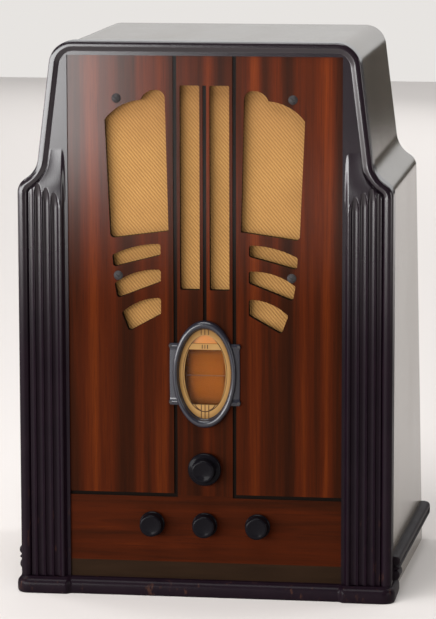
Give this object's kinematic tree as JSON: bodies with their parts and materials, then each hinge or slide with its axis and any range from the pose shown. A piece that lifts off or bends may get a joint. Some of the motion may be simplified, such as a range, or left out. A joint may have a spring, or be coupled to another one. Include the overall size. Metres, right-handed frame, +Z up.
{
  "type": "table radio",
  "caption": "Tall shouldered table radio with fluted uprights, a veneered front, cut grille openings, an oval dial, turning knobs and a tube chassis inside.",
  "frame": {"origin": "middle of the cabinet's underside", "axes": "+Z up, front facing -Y, +X to the right seen from the front"},
  "size_m": [0.3974, 0.2955, 0.546],
  "materials": {
    "lacquer": "gloss black lacquer, rubbed brown low down",
    "veneer": "gloss striped walnut veneer",
    "plywood": "bare plywood",
    "cloth": "woven gold and tan grille cloth",
    "cord": "waxed cord",
    "black_enamel": "semi-gloss black enamel",
    "dial_card": "cream enamel",
    "scale": "amber celluloid with dark arcs",
    "clear": "clear",
    "amber": "amber",
    "bulb_glass": "clear with a silvered top",
    "bakelite": "polished black Bakelite",
    "brown_bakelite": "brown Bakelite",
    "plated": "cadmium plate",
    "steel": "turned",
    "brass": "turned",
    "plates": "sheet",
    "pointer": "red enamel",
    "paper": "pressed paper pulp",
    "rubber": "matt"
  },
  "bodies": {
    "cabinet": {"left_stile": "lacquer", "right_stile": "lacquer", "top_rail": "lacquer", "bottom_rail": "lacquer", "cabinet_wrap": "lacquer", "base_moulding": "lacquer", "left_side_moulding": "lacquer", "right_side_moulding": "lacquer", "front_panel": "veneer", "speaker_board": "plywood", "bottom_board": "plywood", "grille_cloth": "cloth", "dial_cord": "cord", "dial_escutcheon": "black_enamel", "power_transformer": "black_enamel", "output_transformer": "black_enamel", "field_magnet": "black_enamel", "speaker_basket": "black_enamel", "dial_mask": "dial_card", "scale_plate": "scale", "dial_glass": "clear", "dial_lamps": "clear", "amber_lens": "amber", "tube_envelopes": "bulb_glass", "tube_bases": "brown_bakelite", "tube_sockets": "brown_bakelite", "chassis_pan": "plated", "dial_bracket": "plated", "capacitor_frame": "plated", "volume_control": "plated", "tone_control": "plated", "band_switch": "plated", "guide_rod": "steel", "chassis_bolts": "steel", "basket_bolts": "steel", "escutcheon_pins": "steel", "drive_housing": "brass", "board_screws": "brass", "lamp_sockets": "brass", "stator_plates": "plates", "if_cans": "plates", "filter_capacitors": "plates", "cone_gasket": "paper", "rubber_feet": "rubber", "cord_grommet": "rubber"},
    "tuning": {"tuning_knob": "bakelite", "tuning_spindle": "steel"},
    "rotor": {"rotor_shaft": "steel", "rotor_plates": "plates", "cord_drum": "brass", "drive_balls": "steel"},
    "pointer": {"scale_pointer": "pointer"},
    "idler": {"idler_pulley": "brass"},
    "volume": {"volume_knob": "bakelite", "volume_shaft": "steel"},
    "tone": {"tone_knob": "bakelite", "tone_shaft": "steel"},
    "band": {"band_knob": "bakelite", "band_shaft": "steel"},
    "cone": {"speaker_cone": "paper"}
  },
  "joints": [
    {"name": "tuning_turn", "type": "hinge", "parent": "cabinet", "child": "tuning", "pos_m": [0, 0, 0.1275], "axis": [0, 1, 0], "range_deg": [-540, 540]},
    {"name": "rotor_turn", "type": "hinge", "parent": "cabinet", "child": "rotor", "pos_m": [0, 0, 0.1275], "axis": [0, 1, 0], "range_deg": [-90.5, 90.5]},
    {"name": "pointer_slide", "type": "slide", "parent": "cabinet", "child": "pointer", "axis": [0, 0, 1], "range_m": [-0.0245, 0.0245]},
    {"name": "idler_turn", "type": "hinge", "parent": "cabinet", "child": "idler", "pos_m": [0, 0, 0.253], "axis": [0, 1, 0], "range_deg": [-90.5, 90.5]},
    {"name": "volume_turn", "type": "hinge", "parent": "cabinet", "child": "volume", "pos_m": [-0.0523, 0, 0.0715], "axis": [0, 1, 0], "range_deg": [0, 300]},
    {"name": "tone_turn", "type": "hinge", "parent": "cabinet", "child": "tone", "pos_m": [0, 0, 0.0715], "axis": [0, 1, 0], "range_deg": [0, 90]},
    {"name": "band_turn", "type": "hinge", "parent": "cabinet", "child": "band", "pos_m": [0.0523, 0, 0.0715], "axis": [0, 1, 0], "range_deg": [0, 60]},
    {"name": "cone_slide", "type": "slide", "parent": "cabinet", "child": "cone", "axis": [0, 1, 0], "range_m": [-0.0015, 0.0015], "stiffness_N_per_m": 2000}
  ],
  "couplings": [
    {"joint": "rotor_turn", "follows": "tuning_turn", "ratio": 0.16667},
    {"joint": "idler_turn", "follows": "tuning_turn", "ratio": 0.16667},
    {"joint": "pointer_slide", "follows": "tuning_turn", "m_per_rad": -0.00255}
  ]
}
